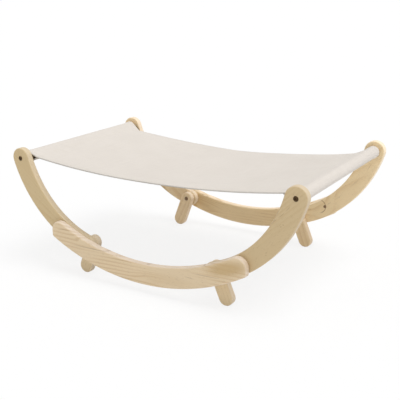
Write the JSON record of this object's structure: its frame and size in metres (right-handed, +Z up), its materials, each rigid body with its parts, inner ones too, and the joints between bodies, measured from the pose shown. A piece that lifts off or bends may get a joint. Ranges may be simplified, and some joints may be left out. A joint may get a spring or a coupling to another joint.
{
  "type": "freestanding cat hammock",
  "caption": "Low freestanding pet hammock: two curved wooden frames with splayed feet carry two cross rods, and a canvas sheet hangs between the rods.",
  "frame": {"origin": "on the floor under the middle of the hammock", "axes": "+X along the hammock from the left rod to the right rod, +Y from the front frame to the back frame, +Z up"},
  "size_m": [0.684, 0.436, 0.258],
  "materials": {
    "pine_arm": "bare sanded pine",
    "pine_rail": "bare sanded pine with flowing grain",
    "pine_foot": "bare sanded pine",
    "pine_rod": "bare turned pine",
    "beech_dowel": "bare beech",
    "canvas": "off-white plain weave canvas",
    "dark_bolt": "dark bronze plated steel",
    "insert_brass": "plain brass"
  },
  "bodies": {
    "root": {"arm_back_left": "pine_arm", "arm_back_right": "pine_arm", "arm_front_left": "pine_arm", "arm_front_right": "pine_arm", "arm_screws_back": "dark_bolt", "arm_screws_front": "dark_bolt", "foot_back_left": "pine_foot", "foot_back_right": "pine_foot", "foot_bolts_back": "dark_bolt", "foot_bolts_front": "dark_bolt", "foot_dowels_back": "beech_dowel", "foot_dowels_front": "beech_dowel", "foot_front_left": "pine_foot", "foot_front_right": "pine_foot", "hammock_sheet": "canvas", "rail_back": "pine_rail", "rail_front": "pine_rail", "rail_inserts_back": "insert_brass", "rail_inserts_front": "insert_brass", "rod_bolts_back": "dark_bolt", "rod_bolts_front": "dark_bolt", "rod_inserts_back": "insert_brass", "rod_inserts_front": "insert_brass", "rod_left": "pine_rod", "rod_right": "pine_rod"}
  },
  "joints": []
}
